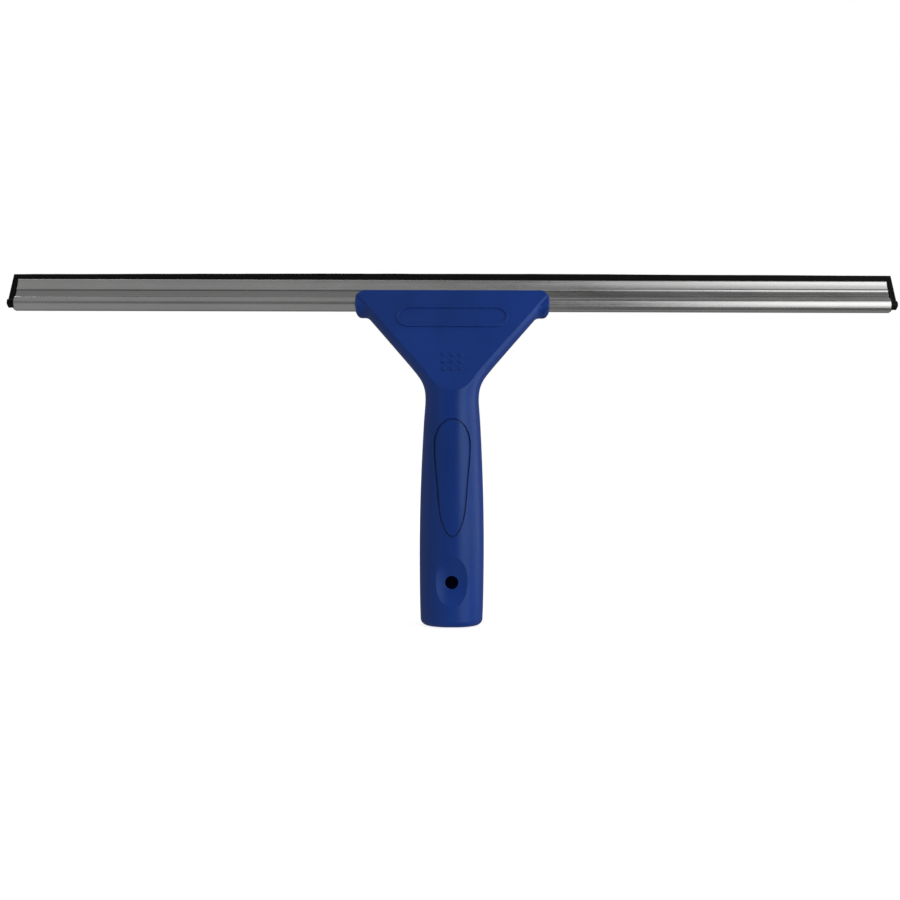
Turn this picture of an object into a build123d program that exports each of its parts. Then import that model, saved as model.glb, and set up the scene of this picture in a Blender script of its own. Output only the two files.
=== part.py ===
from build123d import *
import os
from math import cos, exp, log, radians, sin, sqrt, tan

# Window squeegee: a moulded handle with a pole socket carries an aluminium channel
# that holds a rubber blade.  Millimetres.  The origin is the centre of the socket's
# mouth, +Z runs up the grip to the blade, the handle's front faces -Y, and the
# blade runs along X.

os.makedirs("parts", exist_ok=True)

# ---- blade assembly ---------------------------------------------------------------
RUBBER_LENGTH = 457.0
CHANNEL_LENGTH = 449.0
BLADE_TILT = radians(30.0)      # the blade leans back from the grip's axis
BULB_Y = 21.0                   # axis of the channel's bulb
BULB_Z = 161.4

BULB_RADIUS = 3.85
CAVITY_RADIUS = 2.85
NECK_HALF = 2.4                 # half-thickness of the channel above its bulb
RIB_FOOT = 6.7                  # small rounded rib; heights are above the bulb's axis, up the blade
RIB_HALF = 3.0
RIB_CROWN = 0.25
LIP_FOOT = 8.4                  # lip above the rib, hollow and flared to its top
LIP_TOP = 13.15
LIP_TOP_HALF = 3.8
LIP_HOLLOW = 0.2
LIP_ROUND = 0.6
SLOT_HALF = 1.05

BEAD_RADIUS = 2.3
BEAD_FLAT = -1.7
WEB_HALF = 0.95
RUBBER_EDGE = 19.2

# ---- handle -----------------------------------------------------------------------
MOUTH_HALF = 15.2               # half-widths of the grip
FULLEST_HALF = 15.95
THROAT_HALF = 13.15
FULLEST_Z = 36.0
THROAT_Z = 112.0
LOFT_TOP_Z = 176.0
GRIP_HEIGHTS = [0, 19, FULLEST_Z, 55, 74, 93, 104, THROAT_Z]
HEAD_HEIGHTS = [116.5, 120.5, 125, 130, 137, 146, 156, 166, LOFT_TOP_Z]
DEPTH_RATIO = 0.96              # grip depth over grip width
CORNER_RATIO = 0.9              # grip corner radius over half-width
MOUTH_ROUND = 3.2

FLARE_Z = 119.2                 # where the straight flanks meet the throat
FLANK_SLOPE = 0.856
FLARE_SOFTNESS = 2.4            # larger is a rounder bend
FACET_OUT = 6.4                 # facet in front of the bulb's axis
FACET_RELIEF = 0.01             # cut of the flat facet into the rounded front, per mm of height
FACET_RISE = 3.0                # the rounded front bends this far above the facet's own bend
FACET_SOFTNESS = 0.7
REAR_OUT = 6.5                  # head's rear face behind the bulb's axis
REAR_SOFTNESS = 4.0
HEAD_REAR_CORNER = 4.2
CORNER_CHANGE_Z = 125.0         # where the rear corners tighten
CORNER_CHANGE_SPAN = 4.0

JAW_HALF_LENGTH = 49.6
JAW_TOP = 4.8
JAW_FRONT = 5.4
JAW_RADIUS = 7.2
JAW_CORNER = 3.8
JAW_EDGE = 0.9
EAR_BLEND = 4.0
EAR_REACH = 2.0                 # how near the ears' roots the blended edges lie
SLIDE_GAP = 0.1                 # running gap between the jaw and the channel

SOCKET_RADIUS = 10.5
SOCKET_DEPTH = 90.0
SOCKET_TIP = 6.0
SOCKET_LEAD_IN = 1.0
LOCK_HOLE_Z = 22.0
LOCK_HOLE_RADIUS = 3.25
DISH_RADIUS = 32.0
DISH_DEPTH = 2.4

THUMB_LOW_Z = 44.0              # engraved thumb outline on the grip's front
THUMB_WIDE_Z = 89.0
THUMB_HIGH_Z = 102.0
THUMB_HALF = 9.1
# Half-widths and heights down the outline's side.
THUMB_SIDE = [(7.9, 72.0), (7.1, 62.0), (5.8, 52.8), (3.8, 47.4)]
GROOVE_WIDTH = 1.0
GROOVE_DEPTH = 0.6

BADGE_LENGTH = 56.8             # blank raised border on the facet
BADGE_HEIGHT = 12.8
BADGE_LINE = 1.3
BADGE_UP = -12.2
PIP_RADIUS = 1.0
PIP_PITCH = 4.2
PIP_UP = -39.7
RAISED = 0.5

# ---- rear clamp -------------------------------------------------------------------
POCKET_FLOOR = 1.0              # behind the bulb's axis
PLATE_GAP = 0.2
PLATE_TOP_HALF = 39.0
PLATE_LOW_HALF = 23.5
PLATE_LOW = -20.0
PLATE_CORNER = 3.0
SCREW_X = 20.0
SCREW_UP = -13.0
SCREW_RADIUS = 1.75
SCREW_LENGTH = 8.0
SCREW_GAP = 0.05
HEAD_RADIUS = 3.5
HEAD_HEIGHT = 2.1
HEAD_ROUND = 0.8
COUNTERBORE_RADIUS = 3.8
COUNTERBORE_DEPTH = 2.3
RECESS_LENGTH = 4.0
RECESS_WIDTH = 1.0
RECESS_DEPTH = 1.2
RECESS_TAPER = 12.0
SCREW_POINT = 0.9
SCREW_HOLE_DEPTH = 5.3

# ---- end clips --------------------------------------------------------------------
CLIP_LENGTH = 14.0
CLIP_WIDTH = 2.2
CLIP_THICKNESS = 0.6
CLIP_TAB_DROP = 1.5
CLIP_GAP = 0.12

CUT_OVERRUN = 2.0               # cutting shapes reach this far past what they cut

BACK = Vector(0, cos(BLADE_TILT), -sin(BLADE_TILT))
UP_BLADE = Vector(0, sin(BLADE_TILT), cos(BLADE_TILT))
BULB_CENTRE = (0, BULB_Y, BULB_Z)
blade_axis = Axis(BULB_CENTRE, UP_BLADE)

# Across the blade: local x points out of the rear face, local y up to the rubber's edge.
across = Plane(origin=BULB_CENTRE, x_dir=BACK, z_dir=(1, 0, 0))
# Seen from the front: local x along the blade, local y up to the rubber's edge.
facing = Plane(origin=BULB_CENTRE, x_dir=(1, 0, 0), z_dir=-BACK)


def soft_ramp(z, start, slope, softness):
    """Nothing below start and a straight slope above it, with a rounded bend between."""
    return slope * softness * log(1 + exp((z - start) / softness))


def grip_half(z):
    """Half-width of the grip, fullest in the palm and narrowing to the mouth and throat."""
    if z < FULLEST_Z:
        return FULLEST_HALF - (FULLEST_HALF - MOUTH_HALF) * (1 - z / FULLEST_Z) ** 2
    rise = (min(z, THROAT_Z) - FULLEST_Z) / (THROAT_Z - FULLEST_Z)
    return FULLEST_HALF - (FULLEST_HALF - THROAT_HALF) * rise**2


def bend_height(neck_y, stand_off):
    """Height where a vertical face at neck_y meets a blade-parallel face at stand_off."""
    return BULB_Z + (neck_y - BULB_Y + stand_off / cos(BLADE_TILT)) / tan(BLADE_TILT)


def handle_loft(inset, heights):
    """The handle's outer skin, drawn in by inset, through one section at each height."""
    throat_depth = DEPTH_RATIO * THROAT_HALF
    front_bend = bend_height(-throat_depth, FACET_OUT) + FACET_RISE
    rear_bend = bend_height(throat_depth, -REAR_OUT)
    lean = tan(BLADE_TILT)
    with BuildPart() as skin:
        for z in heights:
            half_width = grip_half(z) + soft_ramp(z, FLARE_Z, FLANK_SLOPE, FLARE_SOFTNESS)
            half_depth = DEPTH_RATIO * grip_half(z)
            front = soft_ramp(z, front_bend, lean - FACET_RELIEF, FACET_SOFTNESS) - half_depth + inset
            rear = soft_ramp(z, rear_bend, lean, REAR_SOFTNESS) + half_depth - inset
            corner = CORNER_RATIO * grip_half(z) - inset
            below_change = (CORNER_CHANGE_Z - z) / CORNER_CHANGE_SPAN
            shrink = (corner - HEAD_REAR_CORNER) / (1 + exp(below_change))
            with BuildSketch(Plane.XY.offset(z)):
                with Locations((0, (front + rear) / 2)):
                    Rectangle(2 * (half_width - inset), rear - front)
                fillet(vertices().group_by(Axis.Y)[0], corner)
                fillet(vertices().group_by(Axis.Y)[-1], corner - shrink)
        loft()
    return skin.part


def thumb_outline(inset):
    """Egg-shaped outline on the grip's front, round end up, drawn in by inset."""
    half = THUMB_HALF - inset
    side = [(x - inset, z) for x, z in THUMB_SIDE]
    low = (0, THUMB_LOW_Z + inset)
    with BuildSketch() as outline:
        with BuildLine():
            EllipticalCenterArc((0, THUMB_WIDE_Z), half, THUMB_HIGH_Z - THUMB_WIDE_Z - inset)
            Spline((half, THUMB_WIDE_Z), *side, low, tangents=[(0, -1), (-1, 0)])
            mirror(about=Plane.YZ)
        make_face()
    return outline.sketch


def plate_outline(inset, top):
    """Trapezoid of the rear clamp plate, drawn in by inset."""
    flank = (PLATE_TOP_HALF - PLATE_LOW_HALF) / (JAW_TOP - PLATE_LOW)
    low = PLATE_LOW + inset
    low_half = PLATE_LOW_HALF - inset
    top_half = low_half + flank * (top - low)
    with BuildSketch() as outline:
        with BuildLine():
            Polyline((-low_half, low), (low_half, low), (top_half, top), (-top_half, top), close=True)
        make_face()
        fillet(vertices().group_by(Axis.Y)[0], PLATE_CORNER - inset)
    return outline.sketch


# ---- handle -----------------------------------------------------------------------
with BuildPart() as jaw_bar:
    front_drop = sqrt(JAW_RADIUS**2 - JAW_FRONT**2)
    rear_drop = sqrt(JAW_RADIUS**2 - REAR_OUT**2)
    with BuildSketch(across):
        with BuildLine():
            Line((-JAW_FRONT, JAW_TOP), (-JAW_FRONT, -front_drop))
            ThreePointArc((-JAW_FRONT, -front_drop), (0, -JAW_RADIUS), (REAR_OUT, -rear_drop))
            Polyline((REAR_OUT, -rear_drop), (REAR_OUT, JAW_TOP), (-JAW_FRONT, JAW_TOP))
        make_face()
    extrude(amount=JAW_HALF_LENGTH, both=True)
    with BuildSketch(facing):
        with Locations((0, (JAW_TOP - JAW_RADIUS) / 2)):
            RectangleRounded(2 * JAW_HALF_LENGTH, JAW_TOP + JAW_RADIUS, JAW_CORNER)
    extrude(amount=3 * JAW_RADIUS, both=True, mode=Mode.INTERSECT)
    with BuildSketch(Plane.XZ):
        with Locations((0, BULB_Z - JAW_RADIUS)):
            Rectangle(2 * JAW_HALF_LENGTH, 4 * JAW_RADIUS, align=(Align.CENTER, Align.MIN))
        fillet(vertices().group_by(Axis.Y)[0], JAW_CORNER)
    extrude(amount=-3 * BULB_Y, mode=Mode.INTERSECT)
    fillet(faces().filter_by(Plane.YZ).edges(), JAW_EDGE)

# Passage for the channel's bulb and neck, with a running gap all round.
with BuildPart() as passage:
    with BuildSketch(across):
        Circle(BULB_RADIUS + SLIDE_GAP)
        with Locations((0, LIP_TOP / 2)):
            Rectangle(2 * (NECK_HALF + SLIDE_GAP), LIP_TOP)
    extrude(amount=JAW_HALF_LENGTH + CUT_OVERRUN, both=True)

handle_skin = handle_loft(0, GRIP_HEIGHTS + HEAD_HEIGHTS)
groove_floor = handle_loft(GROOVE_DEPTH, GRIP_HEIGHTS)

with BuildPart() as thumb_groove:
    with BuildSketch(Plane.XZ):
        add(thumb_outline(0))
        add(thumb_outline(GROOVE_WIDTH), mode=Mode.SUBTRACT)
    extrude(amount=2 * FULLEST_HALF)
    add(groove_floor, mode=Mode.SUBTRACT)

with BuildPart() as handle:
    add(handle_skin)
    split(bisect_by=facing.offset(FACET_OUT), keep=Keep.BOTTOM)
    # The head stops at the jaw's ends and top.
    with BuildSketch(facing):
        with Locations((0, JAW_TOP - LOFT_TOP_Z)):
            Rectangle(2 * (JAW_HALF_LENGTH - JAW_EDGE), 2 * LOFT_TOP_Z)
        fillet(vertices().group_by(Axis.Y)[-1], JAW_CORNER)
    extrude(amount=LOFT_TOP_Z, both=True, mode=Mode.INTERSECT)
    fillet(faces().sort_by(blade_axis)[-1].edges().filter_by(Axis.X), JAW_EDGE)
    add(jaw_bar.part)
    # Blend the ears' undersides into the flanks.
    root_z = BULB_Z - JAW_RADIUS * cos(BLADE_TILT)
    root_x = grip_half(root_z) + FLANK_SLOPE * (root_z - FLARE_Z)
    root_low = root_z - 2 * EAR_REACH
    roots = edges().filter_by(GeomType.BSPLINE).filter_by_position(Axis.Z, root_low, root_z + EAR_REACH)
    fillet(roots.filter_by(lambda e: abs(abs(e.center().X) - root_x) < EAR_REACH), EAR_BLEND)
    fillet(edges().group_by(Axis.Z)[0], MOUTH_ROUND)
    add(passage.part, mode=Mode.SUBTRACT)
    # Pocket for the clamp plate, open at the rear and at the jaw's top.
    with BuildSketch(facing.offset(-POCKET_FLOOR)):
        add(plate_outline(0, JAW_TOP + CUT_OVERRUN))
    extrude(amount=-4 * REAR_OUT, mode=Mode.SUBTRACT)
    with Locations(facing.offset(-POCKET_FLOOR) * Rotation(180, 0, 0)):
        with Locations((-SCREW_X, -SCREW_UP), (SCREW_X, -SCREW_UP)):
            Hole(SCREW_RADIUS + SCREW_GAP, depth=SCREW_HOLE_DEPTH)
    # Pole socket with a conical end and a lead-in.
    with BuildSketch(Plane.XZ):
        with BuildLine():
            Polyline(
                (0, -CUT_OVERRUN),
                (SOCKET_RADIUS + SOCKET_LEAD_IN + CUT_OVERRUN, -CUT_OVERRUN),
                (SOCKET_RADIUS, SOCKET_LEAD_IN),
                (SOCKET_RADIUS, SOCKET_DEPTH),
                (0, SOCKET_DEPTH + SOCKET_TIP),
                close=True,
            )
        make_face()
    revolve(axis=Axis.Z, mode=Mode.SUBTRACT)
    # Dish and hole for the pole's locking button, through the front wall only.
    dish_y = -DEPTH_RATIO * grip_half(LOCK_HOLE_Z) + DISH_DEPTH - DISH_RADIUS
    with Locations((0, dish_y, LOCK_HOLE_Z)):
        Sphere(DISH_RADIUS, mode=Mode.SUBTRACT)
    with BuildSketch(Plane.XZ):
        with Locations((0, LOCK_HOLE_Z)):
            Circle(LOCK_HOLE_RADIUS)
    extrude(amount=2 * FULLEST_HALF, mode=Mode.SUBTRACT)
    add(thumb_groove.part, mode=Mode.SUBTRACT)
    # Blank badge border and pips, raised from the facet.
    with BuildSketch(facing.offset(FACET_OUT)):
        with Locations((0, BADGE_UP)):
            SlotOverall(BADGE_LENGTH, BADGE_HEIGHT)
            SlotOverall(BADGE_LENGTH - 2 * BADGE_LINE, BADGE_HEIGHT - 2 * BADGE_LINE, mode=Mode.SUBTRACT)
        with Locations((0, PIP_UP)):
            with GridLocations(PIP_PITCH, PIP_PITCH, 3, 3):
                Circle(PIP_RADIUS)
    extrude(amount=RAISED)


# ---- rear clamp plate -------------------------------------------------------------
with BuildPart() as rear_clamp_plate:
    with BuildSketch(facing.offset(-POCKET_FLOOR - SLIDE_GAP)):
        add(plate_outline(PLATE_GAP, JAW_TOP))
    extrude(amount=POCKET_FLOOR + SLIDE_GAP - REAR_OUT)
    add(passage.part, mode=Mode.SUBTRACT)
    fillet(faces().sort_by(Axis(BULB_CENTRE, BACK))[-1].edges(), JAW_EDGE)
    with Locations(facing.offset(-REAR_OUT) * Rotation(180, 0, 0)):
        with Locations((-SCREW_X, -SCREW_UP), (SCREW_X, -SCREW_UP)):
            CounterBoreHole(SCREW_RADIUS + SCREW_GAP, COUNTERBORE_RADIUS, COUNTERBORE_DEPTH)

# ---- clamp screws -----------------------------------------------------------------
# Pan head seated in the plate's counterbore, shank forwards into the handle.
seat = Plane(
    origin=facing.from_local_coords((-SCREW_X, SCREW_UP, COUNTERBORE_DEPTH - REAR_OUT)),
    x_dir=(1, 0, 0),
    z_dir=BACK,
)
screw_axis = Axis(seat.origin, BACK)

with BuildPart() as left_clamp_screw:
    with BuildSketch(seat):
        Circle(HEAD_RADIUS)
    extrude(amount=HEAD_HEIGHT)
    fillet(edges().sort_by(screw_axis)[-1], HEAD_ROUND)
    with BuildSketch(seat):
        Circle(SCREW_RADIUS)
    extrude(amount=-SCREW_LENGTH)
    chamfer(edges().sort_by(screw_axis)[0], SCREW_POINT)
    with BuildSketch(seat.offset(HEAD_HEIGHT)):
        Rectangle(RECESS_LENGTH, RECESS_WIDTH)
        Rectangle(RECESS_WIDTH, RECESS_LENGTH)
    extrude(amount=-RECESS_DEPTH, taper=RECESS_TAPER, mode=Mode.SUBTRACT)

with BuildPart() as right_clamp_screw:
    mirror(left_clamp_screw.part, about=Plane.YZ)

# ---- blade channel ----------------------------------------------------------------
with BuildPart() as blade_channel:
    with BuildSketch(across):
        Circle(BULB_RADIUS)
        with Locations((0, RIB_FOOT / 2)):
            Rectangle(2 * NECK_HALF, RIB_FOOT + RIB_CROWN)
        with BuildLine():
            valley = RIB_HALF - RIB_CROWN
            hollow = (valley + LIP_TOP_HALF) / 2 - LIP_HOLLOW
            foot = Line((0, RIB_FOOT), (valley, RIB_FOOT))
            rib = ThreePointArc(foot @ 1, (RIB_HALF, (RIB_FOOT + LIP_FOOT) / 2), (valley, LIP_FOOT))
            lip = ThreePointArc(rib @ 1, (hollow, (LIP_FOOT + LIP_TOP) / 2), (LIP_TOP_HALF, LIP_TOP))
            Line(lip @ 1, (0, LIP_TOP))
            mirror(about=Plane.YZ)
        make_face()
        fillet(vertices().group_by(Axis.Y)[-1], LIP_ROUND)
        Circle(CAVITY_RADIUS, mode=Mode.SUBTRACT)
        with Locations((0, LIP_TOP / 2)):
            Rectangle(2 * SLOT_HALF, LIP_TOP, mode=Mode.SUBTRACT)
    extrude(amount=CHANNEL_LENGTH / 2, both=True)

# ---- rubber blade -----------------------------------------------------------------
with BuildPart() as rubber_blade:
    with BuildSketch(across):
        Circle(BEAD_RADIUS)
        with Locations((0, BEAD_FLAT)):
            Rectangle(2 * BEAD_RADIUS, BEAD_RADIUS, align=(Align.CENTER, Align.MAX), mode=Mode.SUBTRACT)
        Rectangle(2 * WEB_HALF, RUBBER_EDGE, align=(Align.CENTER, Align.MIN))
    extrude(amount=RUBBER_LENGTH / 2, both=True)


# ---- end clips --------------------------------------------------------------------
# Strip under the rubber's bead, with a tab turned down over the channel's end.
with BuildPart() as right_end_clip:
    strip_top = BEAD_FLAT - CLIP_GAP
    strip_low = strip_top - CLIP_THICKNESS
    tab_low = strip_top - CLIP_TAB_DROP
    tab_near = CHANNEL_LENGTH / 2 + SLIDE_GAP
    tab_far = tab_near + CLIP_THICKNESS
    inner_end = CHANNEL_LENGTH / 2 - CLIP_LENGTH
    with BuildSketch(facing):
        with BuildLine():
            Polyline(
                (inner_end, strip_low),
                (inner_end, strip_top),
                (tab_far, strip_top),
                (tab_far, tab_low),
                (tab_near, tab_low),
                (tab_near, strip_low),
                close=True,
            )
        make_face()
    extrude(amount=CLIP_WIDTH / 2, both=True)

with BuildPart() as left_end_clip:
    mirror(right_end_clip.part, about=Plane.YZ)

# ---- write every piece ------------------------------------------------------------
handle.part.label = "handle"
rear_clamp_plate.part.label = "rear_clamp_plate"
left_clamp_screw.part.label = "left_clamp_screw"
right_clamp_screw.part.label = "right_clamp_screw"
blade_channel.part.label = "blade_channel"
rubber_blade.part.label = "rubber_blade"
left_end_clip.part.label = "left_end_clip"
right_end_clip.part.label = "right_end_clip"

export_step(handle.part, "parts/handle.step")
export_step(rear_clamp_plate.part, "parts/rear_clamp_plate.step")
export_step(left_clamp_screw.part, "parts/left_clamp_screw.step")
export_step(right_clamp_screw.part, "parts/right_clamp_screw.step")
export_step(blade_channel.part, "parts/blade_channel.step")
export_step(rubber_blade.part, "parts/rubber_blade.step")
export_step(left_end_clip.part, "parts/left_end_clip.step")
export_step(right_end_clip.part, "parts/right_end_clip.step")
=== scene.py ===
import math

import bpy
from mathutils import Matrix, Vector, noise


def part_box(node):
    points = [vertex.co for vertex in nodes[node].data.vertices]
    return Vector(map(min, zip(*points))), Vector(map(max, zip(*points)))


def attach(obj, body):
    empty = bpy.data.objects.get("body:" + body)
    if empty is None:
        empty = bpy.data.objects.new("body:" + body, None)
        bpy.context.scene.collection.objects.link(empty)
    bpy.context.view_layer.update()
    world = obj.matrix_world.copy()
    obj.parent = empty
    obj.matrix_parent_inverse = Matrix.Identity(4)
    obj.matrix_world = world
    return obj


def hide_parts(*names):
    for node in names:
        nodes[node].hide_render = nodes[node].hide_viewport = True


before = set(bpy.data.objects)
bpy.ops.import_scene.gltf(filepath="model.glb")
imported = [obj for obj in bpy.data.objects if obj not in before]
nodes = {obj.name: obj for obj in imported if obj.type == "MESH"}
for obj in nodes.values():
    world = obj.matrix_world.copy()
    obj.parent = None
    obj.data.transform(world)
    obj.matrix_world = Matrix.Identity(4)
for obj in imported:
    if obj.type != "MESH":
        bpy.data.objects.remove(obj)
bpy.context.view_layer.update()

# Window squeegee.  Metres.  +Z up the grip to the blade, the handle's front faces -Y.

MM = 0.001
blade_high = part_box("rubber_blade")[1]
grip_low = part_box("handle")[0]


# ---- blade frame ------------------------------------------------------------------
# The blade's section lies in the plane across the blade, which leans back from the grip.
BLADE_TILT = math.radians(30.0)
BACK = Vector((0, math.cos(BLADE_TILT), -math.sin(BLADE_TILT)))
UP_BLADE = Vector((0, math.sin(BLADE_TILT), math.cos(BLADE_TILT)))
WEB_HALF = 0.95 * MM
BEAD_RADIUS = 2.3 * MM
BEAD_FLAT = 1.7 * MM            # the bead's flat underside, below the bulb's axis
BEAD_STEPS = 12
LIP_TOP = 13.15 * MM            # top of the channel's lips above the bulb's axis
EDGE_HEIGHT = 19.2 * MM         # the rubber's free edge above the bulb's axis
CORNER = 0.14 * MM              # rounding of the cut edges
CORNER_STEPS = 4
# Rows up the web in millimetres, closest where the rubber is free to sway.
WEB_ROWS = (4.2, 6.0, 8.0, 10.0, 12.0, 13.5, 14.4, 15.4, 16.4, 17.4, 18.2, 18.7)
CROWN = 0.8 * MM                # the free edge stands higher at mid-length than at its ends
CROWN_LEFT = 1.15               # share of the crown lost at each end
CROWN_RIGHT = 0.75
WAVE = 0.22 * MM                # sideways sway of the free edge
RIPPLE = 0.05 * MM              # rise and fall of the free edge
# Each unevenness has its own cells per metre and its own place in the noise.
SLOW_SWAY = (16, 0.3, 0.7)
QUICK_SWAY = (45, 4.1, 2.2)
EDGE_RIPPLE = (130, 7.7, 1.9)
QUICK_SHARE = 0.5
STEP = 2.0 * MM
SHARP_ANGLE = math.radians(40)

# The blade's highest line is its rear top edge, so the section's place follows from the box.
bulb_centre = Vector((0, blade_high.y, blade_high.z)) - UP_BLADE * EDGE_HEIGHT
bulb_centre.y -= WEB_HALF * BACK.y
bulb_centre.z += WEB_HALF * BACK.z


# ---- material helpers -------------------------------------------------------------
class Graph:
    """A material's node tree with short calls for the nodes used here."""

    def __init__(self, name):
        self.material = bpy.data.materials.new(name)
        self.material.use_nodes = True
        self.tree = self.material.node_tree
        self.tree.nodes.clear()
        self.place = self.node("ShaderNodeTexCoord").outputs["Object"]

    def node(self, kind, **settings):
        made = self.tree.nodes.new(kind)
        for key, value in settings.items():
            setattr(made, key, value)
        return made

    def feed(self, socket, value):
        if isinstance(value, bpy.types.NodeSocket):
            self.tree.links.new(value, socket)
        else:
            socket.default_value = value

    def stretch(self, scale):
        """The object's coordinates scaled by scale (per metre) on each axis."""
        mapping = self.node("ShaderNodeMapping")
        self.feed(mapping.inputs["Vector"], self.place)
        self.feed(mapping.inputs["Scale"], scale)
        return mapping.outputs["Vector"]

    def noise(self, scale, detail=3.0, roughness=0.5, distortion=0.0):
        """Noise of 0 to 1, its scale in cells per metre on each axis."""
        made = self.node("ShaderNodeTexNoise")
        self.feed(made.inputs["Vector"], self.stretch(scale))
        self.feed(made.inputs["Scale"], 1.0)
        self.feed(made.inputs["Detail"], detail)
        self.feed(made.inputs["Roughness"], roughness)
        self.feed(made.inputs["Distortion"], distortion)
        return made.outputs["Fac"]

    def remap(self, value, low, high, to_low=0.0, to_high=1.0):
        made = self.node("ShaderNodeMapRange", clamp=True, interpolation_type="SMOOTHSTEP")
        for key, item in (("Value", value), ("From Min", low), ("From Max", high),
                          ("To Min", to_low), ("To Max", to_high)):
            self.feed(made.inputs[key], item)
        return made.outputs["Result"]

    def math(self, operation, first, second=0.0):
        made = self.node("ShaderNodeMath", operation=operation)
        self.feed(made.inputs[0], first)
        self.feed(made.inputs[1], second)
        return made.outputs[0]

    def mix(self, factor, first, second):
        made = self.node("ShaderNodeMix", data_type="RGBA")
        self.feed(made.inputs["Factor"], factor)
        self.feed(made.inputs["A"], first)
        self.feed(made.inputs["B"], second)
        return made.outputs["Result"]

    def soft_edges(self, radius):
        made = self.node("ShaderNodeBevel", samples=6)
        self.feed(made.inputs["Radius"], radius)
        return made.outputs["Normal"]

    def edge_wear(self, radius):
        """1 along edges and 0 elsewhere, from how far the rounded normal leaves the true one."""
        true_normal = self.node("ShaderNodeNewGeometry").outputs["Normal"]
        product = self.node("ShaderNodeVectorMath", operation="DOT_PRODUCT")
        self.feed(product.inputs[0], self.soft_edges(radius))
        self.feed(product.inputs[1], true_normal)
        return self.remap(product.outputs["Value"], 0.995, 0.86)

    def crevice(self, reach):
        """1 in the open and towards 0 in grooves and inside corners narrower than reach."""
        made = self.node("ShaderNodeAmbientOcclusion", samples=8)
        self.feed(made.inputs["Distance"], reach)
        return made.outputs["AO"]

    def bump(self, height, distance, strength, normal=None):
        made = self.node("ShaderNodeBump")
        self.feed(made.inputs["Height"], height)
        self.feed(made.inputs["Distance"], distance)
        self.feed(made.inputs["Strength"], strength)
        if normal is not None:
            self.feed(made.inputs["Normal"], normal)
        return made.outputs["Normal"]

    def finish(self, **inputs):
        shader = self.node("ShaderNodeBsdfPrincipled")
        output = self.node("ShaderNodeOutputMaterial")
        for key, value in inputs.items():
            self.feed(shader.inputs[key.replace("_", " ")], value)
        self.tree.links.new(shader.outputs[0], output.inputs["Surface"])
        return self.material


def shade(name, material):
    """Gives a CAD node its material."""
    piece = nodes[name]
    piece.data.materials.clear()
    piece.data.materials.append(material)


# ---- materials --------------------------------------------------------------------
BLUE = (0.0122, 0.0640, 0.400, 1.0)
BLUE_RUBBED = (0.06, 0.17, 0.60, 1.0)
BLUE_DUSTY = (0.30, 0.38, 0.60, 1.0)
# dark blue painted into the plastic's creases as shade
BLUE_PAINTED_SHADE = (0.004, 0.02, 0.11, 1.0)
# near black painted deep inside the pole socket as shade
SOCKET_PAINTED_SHADE = (0.001, 0.0012, 0.002, 1.0)
PLASTIC_SHEEN = (0.62, 0.84, 1.0, 1.0)

METAL_DULL = (0.74, 0.745, 0.735, 1.0)
METAL_BRIGHT = (0.84, 0.845, 0.835, 1.0)
METAL_LINED = (0.60, 0.605, 0.60, 1.0)
METAL_SPECK = (0.40, 0.40, 0.40, 1.0)
# dark grey painted into the channel's grooves and inside corners as shade
METAL_GROOVE_PAINTED_SHADE = (0.10, 0.10, 0.10, 1.0)
# darker metal painted into the recess between bulb and ribs as shade
METAL_RECESS_PAINTED_SHADE = (0.42, 0.42, 0.415, 1.0)
RECESS_SHADE_STRENGTH = 0.62
# The painted shade in the recess between bulb and ribs fades in and out between these heights
# over the bulb's axis.
RECESS_LOW = (2.6 * MM, 3.6 * MM)
RECESS_HIGH = (6.9 * MM, 6.6 * MM)

RUBBER_DARK = (0.0012, 0.0012, 0.0013, 1.0)
RUBBER_BLOOM = (0.0042, 0.0042, 0.0045, 1.0)
RUBBER_LINT = (0.09, 0.09, 0.09, 1.0)

ZINC = (0.60, 0.60, 0.58, 1.0)
ZINC_YELLOWED = (0.70, 0.67, 0.58, 1.0)
ZINC_WORN = (0.8, 0.8, 0.79, 1.0)

CLIP_BLACK = (0.012, 0.012, 0.013, 1.0)
CLIP_SCUFFED = (0.05, 0.05, 0.055, 1.0)

# Edge roundings that only the shading shows.
PLASTIC_EDGE = 0.35 * MM
METAL_EDGE = 0.15 * MM
SCREW_EDGE = 0.12 * MM
CLIP_EDGE = 0.1 * MM


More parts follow.
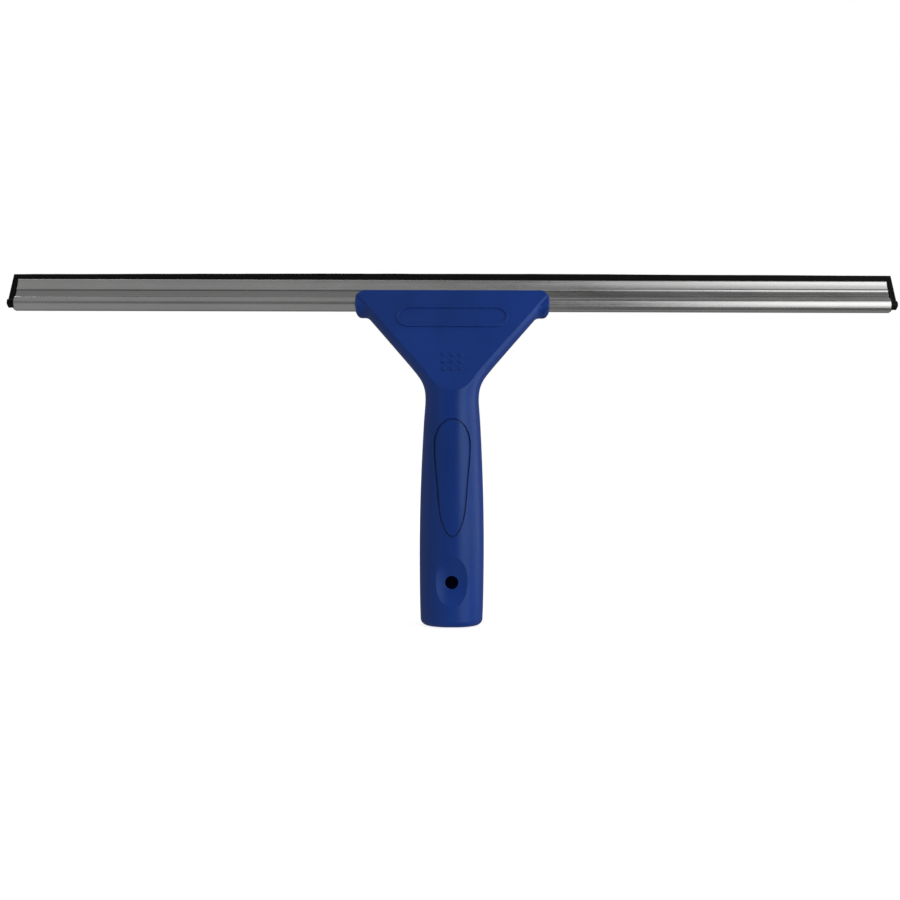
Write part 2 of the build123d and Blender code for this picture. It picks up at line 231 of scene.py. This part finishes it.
def moulded_plastic():
    """Satin injection-moulded plastic: fine spark texture, slight cloudiness, rubbed edges,
    painted shade in creases and deep in the pole socket.
    """
    g = Graph("handle_plastic")
    cloud = g.noise((28, 28, 16), detail=4)
    flow = g.noise((60, 60, 14), detail=3, distortion=0.6)
    tone = g.math("ADD", g.math("MULTIPLY", cloud, 0.6), g.math("MULTIPLY", flow, 0.4))
    darker = tuple(0.86 * c for c in BLUE[:3]) + (1.0,)
    lighter = tuple(min(1.0, 1.13 * c) for c in BLUE[:3]) + (1.0,)
    base = g.mix(g.remap(tone, 0.3, 0.7), darker, lighter)
    patchy = g.remap(g.noise((420, 420, 420)), 0.35, 0.7)
    rubbed = g.math("MULTIPLY", g.edge_wear(0.7 * MM), patchy)
    base = g.mix(g.math("MULTIPLY", rubbed, 0.35), base, BLUE_RUBBED)
    dust = g.remap(g.noise((900, 900, 900), detail=2), 0.68, 0.8)
    base = g.mix(g.math("MULTIPLY", dust, 0.05), base, BLUE_DUSTY)
    hands = g.remap(g.noise((95, 95, 60), detail=5, roughness=0.6), 0.35, 0.7)
    roughness = g.math("ADD", g.math("MULTIPLY", hands, 0.06), 0.29)
    grain = g.noise((2600, 2600, 2600), detail=2, roughness=0.6)
    ripple = g.noise((110, 110, 70), detail=2)
    normal = g.bump(ripple, 0.00006, 0.5, g.soft_edges(PLASTIC_EDGE))
    normal = g.bump(grain, 0.000012, 0.55, normal)
    # painted shade: the blue darkens in creases and grooves narrower than 1.5 mm, where shade
    # falls
    crease_painted_shade = g.remap(g.crevice(1.5 * MM), 0.35, 0.8, 0.55, 0.0)
    base = g.mix(crease_painted_shade, base, BLUE_PAINTED_SHADE)
    # painted shade: deep inside the pole socket and lock hole the plastic is painted near black
    socket_painted_shade = g.remap(g.crevice(30.0 * MM), 0.08, 0.35, 0.97, 0.0)
    base = g.mix(socket_painted_shade, base, SOCKET_PAINTED_SHADE)
    return g.finish(Base_Color=base, Roughness=roughness, IOR=1.5, Normal=normal,
                    Specular_IOR_Level=0.55, Specular_Tint=PLASTIC_SHEEN)


def extruded_aluminium():
    """Mill-finish extrusion: die lines along X, hazy streaks, small nicks, painted shade in
    grooves and a recess painted darker as shade.
    """
    g = Graph("extruded_aluminium")
    fine_lines = g.noise((3, 2600, 2600), detail=2, roughness=0.6)
    broad_lines = g.noise((5, 700, 700), detail=3, roughness=0.6)
    haze = g.noise((14, 60, 60), detail=5, roughness=0.6, distortion=0.5)
    base = g.mix(g.remap(haze, 0.3, 0.7), METAL_DULL, METAL_BRIGHT)
    lined = g.math("MULTIPLY", g.remap(broad_lines, 0.55, 0.75), 0.3)
    base = g.mix(lined, base, METAL_LINED)
    specks = g.remap(g.noise((700, 1100, 1100), detail=2), 0.72, 0.8)
    base = g.mix(g.math("MULTIPLY", specks, 0.5), base, METAL_SPECK)
    roughness = g.math("ADD", g.math("MULTIPLY", g.remap(haze, 0.25, 0.75), 0.08), 0.20)
    drawn = g.math("MULTIPLY", g.remap(fine_lines, 0.4, 0.7), 0.08)
    roughness = g.math("ADD", roughness, drawn)
    normal = g.bump(broad_lines, 0.00002, 0.35, g.soft_edges(METAL_EDGE))
    normal = g.bump(fine_lines, 0.000006, 0.6, normal)
    # painted shade: the metal darkens in grooves and inside corners narrower than 1.2 mm
    groove_painted_shade = g.remap(g.crevice(1.2 * MM), 0.3, 0.85, 0.75, 0.0)
    base = g.mix(groove_painted_shade, base, METAL_GROOVE_PAINTED_SHADE)
    # painted shade: the metal is painted darker in the band of the recess between bulb and ribs
    rise = g.node("ShaderNodeVectorMath", operation="DOT_PRODUCT")
    g.feed(rise.inputs[0], g.place)
    g.feed(rise.inputs[1], UP_BLADE)
    above = g.math("SUBTRACT", rise.outputs["Value"], UP_BLADE.dot(bulb_centre))
    recess_painted_shade = g.math("MULTIPLY", g.remap(above, *RECESS_LOW), g.remap(above, *RECESS_HIGH))
    base = g.mix(g.math("MULTIPLY", recess_painted_shade, RECESS_SHADE_STRENGTH), base, METAL_RECESS_PAINTED_SHADE)
    return g.finish(Base_Color=base, Metallic=1.0, Roughness=roughness, Normal=normal)


def blade_rubber():
    """Black natural rubber: matt bloom, faint lines from slitting and a little lint."""
    g = Graph("blade_rubber")
    bloom = g.noise((35, 140, 140), detail=5, roughness=0.65, distortion=0.8)
    lint = g.remap(g.noise((1500, 1500, 1500), detail=2), 0.7, 0.78)
    base = g.mix(g.remap(bloom, 0.35, 0.75), RUBBER_DARK, RUBBER_BLOOM)
    base = g.mix(g.math("MULTIPLY", lint, 0.12), base, RUBBER_LINT)
    roughness = g.math("ADD", g.math("MULTIPLY", bloom, 0.2), 0.42)
    slit = g.noise((8, 2400, 2400), detail=3, roughness=0.65)
    normal = g.bump(slit, 0.00001, 0.6)
    return g.finish(Base_Color=base, Roughness=roughness, Normal=normal, Specular_IOR_Level=0.2)


def zinc_steel():
    """Bright zinc plate with fine turning marks and a faint yellow passivation."""
    g = Graph("zinc_steel")
    stain = g.noise((500, 500, 500), detail=4, distortion=0.7)
    base = g.mix(g.remap(stain, 0.35, 0.7), ZINC, ZINC_YELLOWED)
    base = g.mix(g.math("MULTIPLY", g.edge_wear(0.25 * MM), 0.4), base, ZINC_WORN)
    marks = g.noise((5000, 5000, 900), detail=3, roughness=0.6)
    roughness = g.remap(stain, 0.25, 0.75, 0.24, 0.42)
    normal = g.bump(marks, 0.00001, 0.5, g.soft_edges(SCREW_EDGE))
    return g.finish(Base_Color=base, Metallic=1.0, Roughness=roughness, Normal=normal)


def clip_plastic():
    """Black moulded clip with a slightly scuffed, grained surface."""
    g = Graph("clip_plastic")
    scuff = g.remap(g.noise((300, 900, 900), detail=4, roughness=0.6), 0.5, 0.75)
    base = g.mix(g.math("MULTIPLY", scuff, 0.4), CLIP_BLACK, CLIP_SCUFFED)
    roughness = g.math("ADD", g.math("MULTIPLY", scuff, 0.15), 0.4)
    grain = g.noise((3000, 3000, 3000), detail=2)
    normal = g.bump(grain, 0.00001, 0.5, g.soft_edges(CLIP_EDGE))
    return g.finish(Base_Color=base, Roughness=roughness, Normal=normal)


handle_plastic = moulded_plastic()
shade("handle", handle_plastic)
shade("rear_clamp_plate", handle_plastic)
shade("blade_channel", extruded_aluminium())
steel = zinc_steel()
shade("left_clamp_screw", steel)
shade("right_clamp_screw", steel)
clip_black = clip_plastic()
shade("left_end_clip", clip_black)
shade("right_end_clip", clip_black)


# ---- rubber blade -----------------------------------------------------------------
def blade_section():
    """Outline of the rubber as (back, up), in order round the section."""
    flat_half = math.sqrt(BEAD_RADIUS**2 - BEAD_FLAT**2)
    low_angle = math.atan2(-BEAD_FLAT, flat_half)
    neck_angle = math.acos(WEB_HALF / BEAD_RADIUS)
    span = neck_angle - low_angle
    bead = [low_angle + span * i / BEAD_STEPS for i in range(BEAD_STEPS + 1)]
    right = [(BEAD_RADIUS * math.cos(a), BEAD_RADIUS * math.sin(a)) for a in bead]
    right += [(WEB_HALF, row * MM) for row in WEB_ROWS]
    for i in range(CORNER_STEPS + 1):
        turn = math.radians(90 * i / CORNER_STEPS)
        inwards = CORNER * (1 - math.cos(turn))
        down = CORNER * (1 - math.sin(turn))
        right.append((WEB_HALF - inwards, EDGE_HEIGHT - down))
    top = [(0.5 * WEB_HALF, EDGE_HEIGHT), (0.0, EDGE_HEIGHT)]
    left = [(-back, up) for back, up in reversed(right)]
    return right + top + [(-0.5 * WEB_HALF, EDGE_HEIGHT)] + left


def unevenness(x, kind):
    cells_per_metre, across, along = kind
    return noise.noise(Vector((x * cells_per_metre, across, along)))


def rubber_blade():
    """The blade as one closed mesh whose free edge is slightly crowned and wavy."""
    section = blade_section()
    half = blade_high.x
    steps = round(2 * half / STEP)
    stations = [-half + 2 * half * i / steps for i in range(steps + 1)]
    verts = []
    for x in stations:
        crown = -CROWN * (x / half) ** 2 * (CROWN_LEFT if x < 0 else CROWN_RIGHT)
        sway = WAVE * (unevenness(x, SLOW_SWAY) + QUICK_SHARE * unevenness(x, QUICK_SWAY))
        ripple = RIPPLE * unevenness(x, EDGE_RIPPLE)
        for back, up in section:
            free = max(0.0, (up - LIP_TOP) / (EDGE_HEIGHT - LIP_TOP))
            moved_back = BACK * (back + sway * free**2)
            moved_up = UP_BLADE * (up + (crown + ripple) * free)
            shifted = bulb_centre + moved_back + moved_up
            verts.append((x, shifted.y, shifted.z))
    ring = len(section)
    faces = []
    for i in range(len(stations) - 1):
        for j in range(ring):
            k = (j + 1) % ring
            faces.append((i * ring + j, (i + 1) * ring + j, (i + 1) * ring + k, i * ring + k))
    faces.append(tuple(range(ring)))
    faces.append(tuple(reversed(range(steps * ring, (steps + 1) * ring))))
    mesh = bpy.data.meshes.new("rubber_strip")
    mesh.from_pydata(verts, [], faces)
    mesh.update()
    mesh.validate()
    piece = bpy.data.objects.new("rubber_strip", mesh)
    bpy.context.scene.collection.objects.link(piece)
    mesh.materials.append(blade_rubber())
    mesh.shade_smooth()
    mesh.set_sharp_from_angle(angle=SHARP_ANGLE)
    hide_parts("rubber_blade")
    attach(piece, "rubber")


rubber_blade()


# ---- stage, camera and light ------------------------------------------------------
FLOOR_DROP = 0.2 * MM           # the floor lies just under the grip
FLOOR_REACH = 6.0
FLOOR_RINGS = 24
FLOOR_SIDES = 96
FLOOR_GREYS = ((0.46, 0.46, 0.46, 1.0), (0.50, 0.50, 0.50, 1.0))
FLOOR_FADE = (0.05, 0.45)       # the floor brightens to the surround's white over this distance
FLOOR_GLOW = (0.86, 1.0)

STUDIO_LEVEL = 0.25
STUDIO_DARK = 0.09              # ahead on the right
BEHIND_SHARE = 0.55             # how much of the level is left straight behind
PATCH_DIRECTION = (-0.05, -0.97, 0.22)      # a dark patch round the camera
PATCH_SHARE = 0.35
WHITE = (1.0, 1.0, 1.0, 1.0)

# name, bearing in degrees right of the front, low and high edge, width, radiance
SOFTBOXES = (
    ("key_right", 39.0, -0.50, 1.45, 0.86, 0.70),
    ("key_core", 38.0, 0.00, 0.95, 0.58, 0.55),
    ("side_right", 88.0, -0.1, 1.0, 0.85, 0.80),
    ("back_left", 208.0, 0.65, 1.55, 1.00, 1.15),
    ("back_right", 140.0, 0.45, 1.15, 0.80, 0.70),
)

CAMERA_PLACE = (-1.0 * MM, -0.6, 0.0865)
CAMERA_ROLL = math.radians(-0.15)
LENS_MM = 48.28
SENSOR_MM = 36.0


def stage_floor():
    """Round pale floor under the grip that brightens into the white surround."""
    g = Graph("pale_floor")
    diffuse = g.node("ShaderNodeBsdfDiffuse")
    glow = g.node("ShaderNodeEmission")
    both = g.node("ShaderNodeAddShader")
    output = g.node("ShaderNodeOutputMaterial")
    distance = g.node("ShaderNodeVectorMath", operation="LENGTH")
    g.feed(distance.inputs[0], g.place)
    far = g.remap(distance.outputs["Value"], *FLOOR_FADE)
    mottle = g.mix(g.noise((6, 6, 6), detail=2), *FLOOR_GREYS)
    g.feed(diffuse.inputs["Color"], mottle)
    path = g.node("ShaderNodeLightPath")
    strength = g.remap(far, 0.0, 1.0, *FLOOR_GLOW)
    g.feed(glow.inputs["Strength"], g.math("MULTIPLY", path.outputs["Is Camera Ray"], strength))
    g.tree.links.new(diffuse.outputs[0], both.inputs[0])
    g.tree.links.new(glow.outputs[0], both.inputs[1])
    g.tree.links.new(both.outputs[0], output.inputs["Surface"])
    verts = [(0.0, 0.0, 0.0)]
    for i in range(1, FLOOR_RINGS + 1):
        radius = FLOOR_REACH * (i / FLOOR_RINGS) ** 2
        for j in range(FLOOR_SIDES):
            turn = 2 * math.pi * j / FLOOR_SIDES
            verts.append((radius * math.cos(turn), radius * math.sin(turn), 0.0))
    following = [(j + 1) % FLOOR_SIDES for j in range(FLOOR_SIDES)]
    faces = [(0, 1 + j, 1 + k) for j, k in enumerate(following)]
    for i in range(FLOOR_RINGS - 1):
        inner = 1 + i * FLOOR_SIDES
        outer = inner + FLOOR_SIDES
        faces += [(inner + j, outer + j, outer + k, inner + k) for j, k in enumerate(following)]
    mesh = bpy.data.meshes.new("floor")
    mesh.from_pydata(verts, [], faces)
    mesh.update()
    floor = bpy.data.objects.new("floor", mesh)
    floor.location.z = grip_low.z - FLOOR_DROP
    floor.visible_glossy = False
    floor.visible_diffuse = False
    floor.visible_shadow = False
    bpy.context.scene.collection.objects.link(floor)
    mesh.materials.append(g.material)


def surround():
    """White for the camera; in reflections a dim studio, darker ahead on the right and behind."""
    world = bpy.data.worlds.new("studio")
    bpy.context.scene.world = world
    world.use_nodes = True
    tree = world.node_tree
    tree.nodes.clear()

    def ramp(value, low, high, to_low, to_high):
        made = tree.nodes.new("ShaderNodeMapRange")
        made.interpolation_type = "SMOOTHSTEP"
        tree.links.new(value, made.inputs["Value"])
        limits = (("From Min", low), ("From Max", high), ("To Min", to_low), ("To Max", to_high))
        for key, item in limits:
            made.inputs[key].default_value = item
        return made.outputs["Result"]

    def product(first, second):
        made = tree.nodes.new("ShaderNodeMath")
        made.operation = "MULTIPLY"
        tree.links.new(first, made.inputs[0])
        tree.links.new(second, made.inputs[1])
        return made.outputs[0]

    place = tree.nodes.new("ShaderNodeTexCoord")
    split = tree.nodes.new("ShaderNodeSeparateXYZ")
    tree.links.new(place.outputs["Generated"], split.inputs[0])
    right = ramp(split.outputs["X"], -0.05, 0.12, 0.0, 1.0)
    ahead = ramp(split.outputs["Y"], 0.1, -0.1, 0.0, 1.0)
    facing = tree.nodes.new("ShaderNodeVectorMath")
    facing.operation = "DOT_PRODUCT"
    tree.links.new(place.outputs["Generated"], facing.inputs[0])
    facing.inputs[1].default_value = PATCH_DIRECTION
    away = ramp(facing.outputs["Value"], 0.88, 0.985, 1.0, PATCH_SHARE)
    behind = ramp(split.outputs["Y"], 0.1, 0.8, 1.0, BEHIND_SHARE)
    sides = ramp(product(right, ahead), 0.0, 1.0, STUDIO_LEVEL, STUDIO_DARK)
    strength = product(product(sides, behind), away)
    path = tree.nodes.new("ShaderNodeLightPath")
    dim = tree.nodes.new("ShaderNodeBackground")
    white = tree.nodes.new("ShaderNodeBackground")
    mix = tree.nodes.new("ShaderNodeMixShader")
    output = tree.nodes.new("ShaderNodeOutputWorld")
    tree.links.new(strength, dim.inputs["Strength"])
    dim.inputs["Color"].default_value = WHITE
    white.inputs["Color"].default_value = WHITE
    white.inputs["Strength"].default_value = 1.0
    tree.links.new(path.outputs["Is Camera Ray"], mix.inputs["Fac"])
    tree.links.new(dim.outputs[0], mix.inputs[1])
    tree.links.new(white.outputs[0], mix.inputs[2])
    tree.links.new(mix.outputs[0], output.inputs["Surface"])


def softbox(name, bearing, low, high, width, brightness):
    """Upright light 1 m from the grip, bearing degrees right of the front, from low to high."""
    turn = math.radians(bearing)
    place = Vector((math.sin(turn), -math.cos(turn), (low + high) / 2))
    light = bpy.data.lights.new(name, "AREA")
    light.shape = "RECTANGLE"
    light.size = width
    light.size_y = high - low
    light.energy = brightness * math.pi * width * (high - low)
    made = bpy.data.objects.new(name, light)
    made.location = place
    made.rotation_euler = Vector((-place.x, -place.y, 0.0)).to_track_quat("-Z", "Y").to_euler()
    made.visible_camera = False
    bpy.context.scene.collection.objects.link(made)


def camera():
    data = bpy.data.cameras.new("camera")
    data.lens = LENS_MM
    data.sensor_width = SENSOR_MM
    made = bpy.data.objects.new("camera", data)
    made.location = CAMERA_PLACE
    made.rotation_euler = (math.radians(90), CAMERA_ROLL, 0)
    bpy.context.scene.collection.objects.link(made)
    bpy.context.scene.camera = made


stage_floor()
surround()
for box in SOFTBOXES:
    softbox(*box)
camera()
bpy.context.scene.view_settings.view_transform = "Standard"
